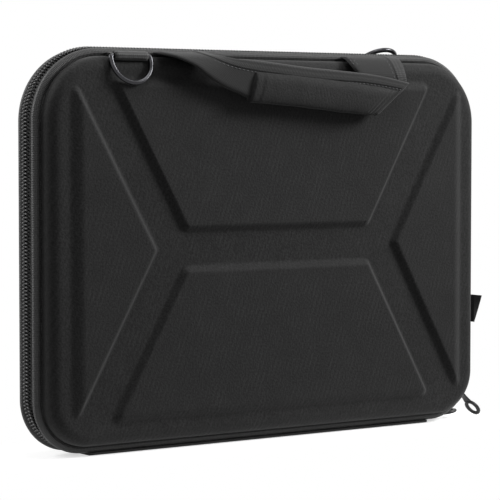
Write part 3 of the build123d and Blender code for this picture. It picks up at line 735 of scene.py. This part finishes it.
# Webbing loops that hold the D-rings
loop = {"width": 25.0, "ply": 1.2, "ringX": 115.0, "barAngle": 43.0, "inner": 8.2, "barReach": 11.2, "wrap": 2.4}
edgeY, edgeZ = shellDepth - edgeRadius, shellTop - edgeRadius
for half, side in halves.items():
    path = [(y, shellTop + 0.2 + loop["ply"] / 2) for y in np.linspace(bindingEnd + 0.05, edgeY, 6)[:-1]]
    low, high = loop["inner"] + loop["ply"] / 2, loop["inner"] + loop["ply"] * 1.5
    path += [(edgeY + low * math.sin(a), edgeZ + low * math.cos(a))
             for a in np.radians(np.linspace(0, loop["barAngle"] - 4, 10))]
    bar = math.radians(loop["barAngle"])
    barY, barZ = edgeY + loop["barReach"] * math.sin(bar), edgeZ + loop["barReach"] * math.cos(bar)
    path += [(barY + loop["wrap"] * math.sin(a), barZ + loop["wrap"] * math.cos(a))
             for a in np.linspace(bar + math.pi, bar - 0.65, 22)]
    path += [(edgeY + high * math.sin(a), edgeZ + high * math.cos(a))
             for a in np.radians(np.linspace(loop["barAngle"] - 24, 0, 6))]
    path += [(y, shellTop + 0.2 + loop["ply"] * 1.5) for y in np.linspace(edgeY, bindingEnd + 0.05, 6)[1:]]
    path = np.array([(side * loop["ringX"], side * y, z) for y, z in path])
    piece = ribbon(f"{half}_ring_webbing", path, np.tile((1.0, 0, 0), (len(path), 1)), loop["width"], loop["ply"],
                   loopCloth)
    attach(piece, f"{half}_half")
    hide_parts(f"{half}_ring_loop")
print("ring loops made")

# Side label, folded double in the seam
label = {"bottom": 70.6, "height": 19.6, "reach": 18.0, "flat": 8.0, "curl": (47, 14), "droop": 2.0,
         "thickness": 0.45}
rows = []
for v in np.linspace(0, 1, 12):
    row = []
    turn = math.radians(label["curl"][0] + (label["curl"][1] - label["curl"][0]) * v)
    for t in np.linspace(0, 2, 41):
        out = 1 - abs(1 - t)
        layer = label["thickness"] * (1 if t < 1 else -1) * min(1, 8 * abs(1 - t))
        free = max(0.0, label["reach"] * out - label["flat"])
        x = halfWidth - wallInset + 0.05 + min(label["reach"] * out, label["flat"]) + free * math.cos(turn)
        z = label["bottom"] + label["height"] * v - label["droop"] * out
        row.append((x, -bindingEnd - 0.5 + layer / 2 + free * math.sin(turn), z))
    rows.append(row)
tag = gridPiece("side_label", np.array(rows), labelCloth)
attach(tag, "front_half")
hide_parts("side_tag")

# Inside: elastic straps across the back half's corners
inner = {"x": 169.7, "top": 250.2, "bottom": 10.8, "start": 5.2}  # the lining's own outline
corner = {"leg": 72.0, "width": 20.0, "thickness": 1.1, "trim": 9, "seams": {"top": 0.04, "side": 0.96}}
middle = corner["leg"] - corner["width"] * 2 ** 0.5 / 2
places = [(signX, inner[edge], inwards) for edge, inwards in (("top", -1), ("bottom", 1)) for signX in (-1, 1)]
for k, (signX, wallZ, inwards) in enumerate(places):
    first = np.array((signX * (inner["x"] - middle), inner["start"] + 0.6, wallZ))
    last = np.array((signX * inner["x"], inner["start"] + 0.6, wallZ + inwards * middle))
    trim = unit(last - first) * corner["trim"]
    path = np.linspace(first + trim, last - trim, 14)
    across = np.cross(unit(last - first), (0, 1, 0))
    piece = ribbon(f"corner_strap_{k}", path, np.tile(across, (14, 1)), corner["width"] * 0.98,
                   corner["thickness"], elasticCloth)
    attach(piece, "back_half")
    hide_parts("corner_elastics")
    for end, share in corner["seams"].items():
        spot = path[0] + (path[-1] - path[0]) * share - np.array((0, 0.6, 0))
        seam = [spot - across * corner["width"] * 0.44, spot + across * corner["width"] * 0.44]
        piece = stitches(f"corner_stitches_{k}_{end}", seam, [(0, -1, 0)] * 2, 2.6, 1.9)
        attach(piece, "back_half")

# Inside: mesh pocket of the front half, with its bound hem
pocket = {"top": 150.0, "round": 26.2, "sag": 0.35, "hem": 14.0, "hemThickness": 1.5, "seams": (1.6, 12.4)}
straight = 36  # above this height the net's sides are straight
rows = []
for z in np.concatenate([np.linspace(inner["bottom"], straight, 14)[:-1], np.linspace(straight, pocket["top"], 50)]):
    drop = max(0.0, pocket["round"] + inner["bottom"] - z)
    reach = inner["x"] - (pocket["round"] - math.sqrt(max(0.0, pocket["round"] ** 2 - drop ** 2)))
    sag = pocket["sag"] * math.sin(math.pi * (z - inner["bottom"]) / (pocket["top"] - inner["bottom"]))
    rows.append([(x, -inner["start"] - 0.4 - sag * (1 - (x / reach) ** 2), z)
                 for x in np.linspace(-reach, reach, 90)])
net = gridPiece("pocket_net", np.array(rows), netCloth)
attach(net, "front_half")
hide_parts("mesh_pocket")
path = [(x, -inner["start"] - 0.8, pocket["top"] + pocket["hem"] / 2)
        for x in np.linspace(-inner["x"], inner["x"], 60)]
for k, height in enumerate(pocket["seams"]):
    seam = [(x, -inner["start"] - 0.05, pocket["top"] + height) for x in (-inner["x"] + 2, inner["x"] - 2)]
    piece = stitches(f"pocket_stitches_{k}", seam, [(0, 1, 0)] * 2)
    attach(piece, "front_half")
piece = ribbon("pocket_hem_tape", path, np.tile((0.0, 0, 1), (60, 1)), pocket["hem"],
               pocket["hemThickness"], hemCloth)
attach(piece, "front_half")
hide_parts("pocket_hem")
print("inside pieces made")

# Zipper pulls: a framed eye round the slider's bridge, a neck and an oval finger ring, cast in one
# Each pair or triple gives a length and widths along the pull, from its pivot.
pull = {"eye": (4.9, 2.25), "eyeWire": (1.3, 1.15), "neck": (5.3, 14.4, 6.2), "thickness": 1.3,
        "ring": (20.3, 5.9, 3.8), "ringWire": (2.7, 1.9)}
pivots = {"a": ((147.303, 1.744), 8.0, 0), "b": ((176.822, 20.55), -46.0, -18)}  # place, lie, and twist of the neck


def castLoop(centreline, wire):
    # A closed loop of rounded bar, in the pull's own plane.
    centreline = np.array(centreline, float)
    ahead = unit(np.roll(centreline, -1, axis=0) - np.roll(centreline, 1, axis=0))
    aside = np.stack([ahead[:, 1], -ahead[:, 0]], -1)
    sides = 12
    rows = []
    for a in np.linspace(0, 2 * math.pi, sides, endpoint=False):
        c, s = (math.copysign(abs(f(a)) ** 0.6, f(a)) for f in (math.cos, math.sin))
        flat = centreline + aside * c * wire[0] / 2
        rows.append(np.concatenate([flat, np.full((len(flat), 1), s * wire[1] / 2)], 1))
    rows = np.array(rows)
    return rows.reshape(-1, 3), gridFaces(sides, len(centreline), closedRows=True, closedColumns=True)


def castNeck():
    start, end, width = pull["neck"]
    stations, sides = 12, 20
    rows = []
    for t in np.linspace(0, 1, stations):
        waist = width * (1 - 0.14 * math.sin(math.pi * t)) * (0.9 if t in (0, 1) else 1)
        rows.append([(start + (end - start) * t, math.copysign(abs(math.cos(a)) ** 0.5, math.cos(a)) * waist / 2,
                      math.copysign(abs(math.sin(a)) ** 0.6, math.sin(a)) * pull["thickness"] / 2)
                     for a in np.linspace(0, 2 * math.pi, sides, endpoint=False)])
    faces = gridFaces(stations, sides, closedColumns=True)
    faces += [tuple(range(sides - 1, -1, -1)), tuple(range((stations - 1) * sides, stations * sides))]
    return np.array(rows).reshape(-1, 3), faces


for letter, ((pivotX, pivotZ), angle, twist) in pivots.items():
    length, reach = pull["eye"]
    eye = []
    for a in np.linspace(0, 2 * math.pi, 40, endpoint=False):
        c, s = (math.copysign(abs(f(a)) ** 0.55, f(a)) for f in (math.cos, math.sin))
        eye.append((length / 2 + c * length / 2, s * reach))
    middle, longHalf, shortHalf = pull["ring"]
    ring = [(middle + longHalf * math.cos(a), shortHalf * math.sin(a))
            for a in np.linspace(0, 2 * math.pi, 56, endpoint=False)]
    ahead = np.array((math.cos(math.radians(angle)), 0, math.sin(math.radians(angle))))
    flat = np.cross(ahead, (0, 1, 0))
    parts = []
    for points, faces in (castLoop(eye, pull["eyeWire"]), castNeck(), castLoop(ring, pull["ringWire"])):
        turned = np.radians(twist * smooth(5, 14, points[:, :1]))  # the eye stays flat on the slider
        aside = np.array((0.0, 1, 0)) * np.cos(turned) + flat * np.sin(turned)
        placed = (np.array((pivotX, 0, pivotZ)) + points[:, :1] * ahead + points[:, 1:2] * aside
                  + points[:, 2:] * np.cross(ahead, aside))
        parts.append((placed, faces))
    piece = joined(f"pull_{letter}_casting", parts, lacquer)
    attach(piece, f"pull_{letter}")
    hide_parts(f"pull_{letter}")
print("zipper pulls made")

# Metal and moulded pieces keep their CAD shapes
finishes = {"front_ring": blackNickel, "rear_ring": blackNickel, "zipper_stops": stopNylon}
for letter in "ab":
    finishes.update({f"slider_{letter}_body": lacquer, f"slider_{letter}_bridge": lacquer,
                     f"pull_{letter}": lacquer})
softFinishes = {"shell": twill, "lining": liningCloth, "binding": bindingCloth, "tape": tapeCloth,
                "coil": coilNylon, "spine": tapeCloth, "loop": strapCloth, "elastics": elasticCloth,
                "tag": labelCloth, "mesh": netCloth, "hem": hemCloth, "handle": strapCloth}
for name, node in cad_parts.items():
    found = finishes.get(name) or next((m for key, m in softFinishes.items() if key in name), twill)
    node.data.materials.clear()
    node.data.materials.append(found)

# Stage, light and camera
floorMesh = bpy.data.meshes.new("floor")
paperWidth, paperDepth = 0.3, 0.15
floorMesh.from_pydata([(-paperWidth, -paperDepth, 0), (paperWidth, -paperDepth, 0), (paperWidth, paperDepth, 0),
                       (-paperWidth, paperDepth, 0)], [], [(0, 1, 2, 3)])
floor = bpy.data.objects.new("floor", floorMesh)
bpy.context.scene.collection.objects.link(floor)
# Matt white paper that glows to the camera. Away from the case it thins out into the white room, so that the
# case keeps its shadow, and the front half is seen and lit where it hangs below its hinge.
paper, tree = newMaterial("white backdrop")
sheet = addNode(tree, "BsdfPrincipled", {"Base Color": hexColour("e0e0e0"), "Roughness": 0.9,
                                         "Specular IOR Level": 0.0})
place = addNode(tree, "TexCoord", output="Object")
mirrored = addNode(tree, "VectorMath", {0: place}, operation="ABSOLUTE")
beyond = addNode(tree, "VectorMath", {0: mirrored, 1: (0.18, 0.03, 0)}, operation="SUBTRACT")
clear = addNode(tree, "VectorMath", {0: beyond, 1: (0, 0, 0)}, operation="MAXIMUM")
distance = addNode(tree, "VectorMath", {0: clear}, "Value", operation="LENGTH")
glow = addNode(tree, "MapRange", {"Value": distance, "From Max": 0.035, "To Min": 0.62, "To Max": 1.0},
               interpolation_type="SMOOTHSTEP")
thin = addNode(tree, "MapRange", {"Value": distance, "From Min": 0.002, "From Max": 0.035},
               interpolation_type="SMOOTHSTEP")
strength = addNode(tree, "Math", {0: seenShare(tree), 1: glow}, operation="MULTIPLY")
light = addNode(tree, "Emission", {"Color": (1, 1, 1, 1), "Strength": strength})
both = addNode(tree, "AddShader", {0: sheet, 1: light})
mixed = addNode(tree, "MixShader", {0: thin, 1: both, 2: addNode(tree, "BsdfTransparent")})
addNode(tree, "OutputMaterial", {"Surface": mixed})
floorMesh.materials.append(paper)

world = bpy.data.worlds.new("studio")
bpy.context.scene.world = world
world.use_nodes = True
tree = world.node_tree
tree.nodes.clear()
plain = addNode(tree, "Background", {"Color": (1, 1, 1, 1), "Strength": 1.0})
dim = addNode(tree, "Background", {"Color": (1, 1, 1, 1), "Strength": 0.16})
mixed = addNode(tree, "MixShader", {0: seenShare(tree), 1: dim, 2: plain})
addNode(tree, "OutputWorld", {"Surface": mixed})

target = np.array((0.0, 0.0, 0.12))
lamps = {"key": ((1.0, -0.7, 0.85), 0.5, 22.5), "fill": ((-1.4, -0.9, 0.9), 1.0, 2.6),
         "top": ((0.0, -0.22, 1.05), 0.6, 5), "rear": ((-0.95, 1.05, 0.75), 0.8, 17)}  # place, size and watts
for name, (place, size, power) in lamps.items():
    lamp = bpy.data.lights.new(name, "AREA")
    lamp.shape, lamp.size, lamp.energy = "SQUARE", size, power
    light = bpy.data.objects.new(name, lamp)
    light.location = place
    aim = Vector(target - np.array(place))
    light.rotation_euler = aim.to_track_quat("-Z", "Y").to_euler()
    bpy.context.scene.collection.objects.link(light)

camera = bpy.data.objects.new("camera", bpy.data.cameras.new("camera"))
camera.location = (-0.83854, -1.18773, 0.20516)
camera.rotation_euler = [math.radians(a) for a in (86.907, 0, -34.996)]
camera.data.lens = 155.3
bpy.context.scene.collection.objects.link(camera)
bpy.context.scene.camera = camera
bpy.context.scene.view_settings.view_transform = "Standard"
print("stage set")
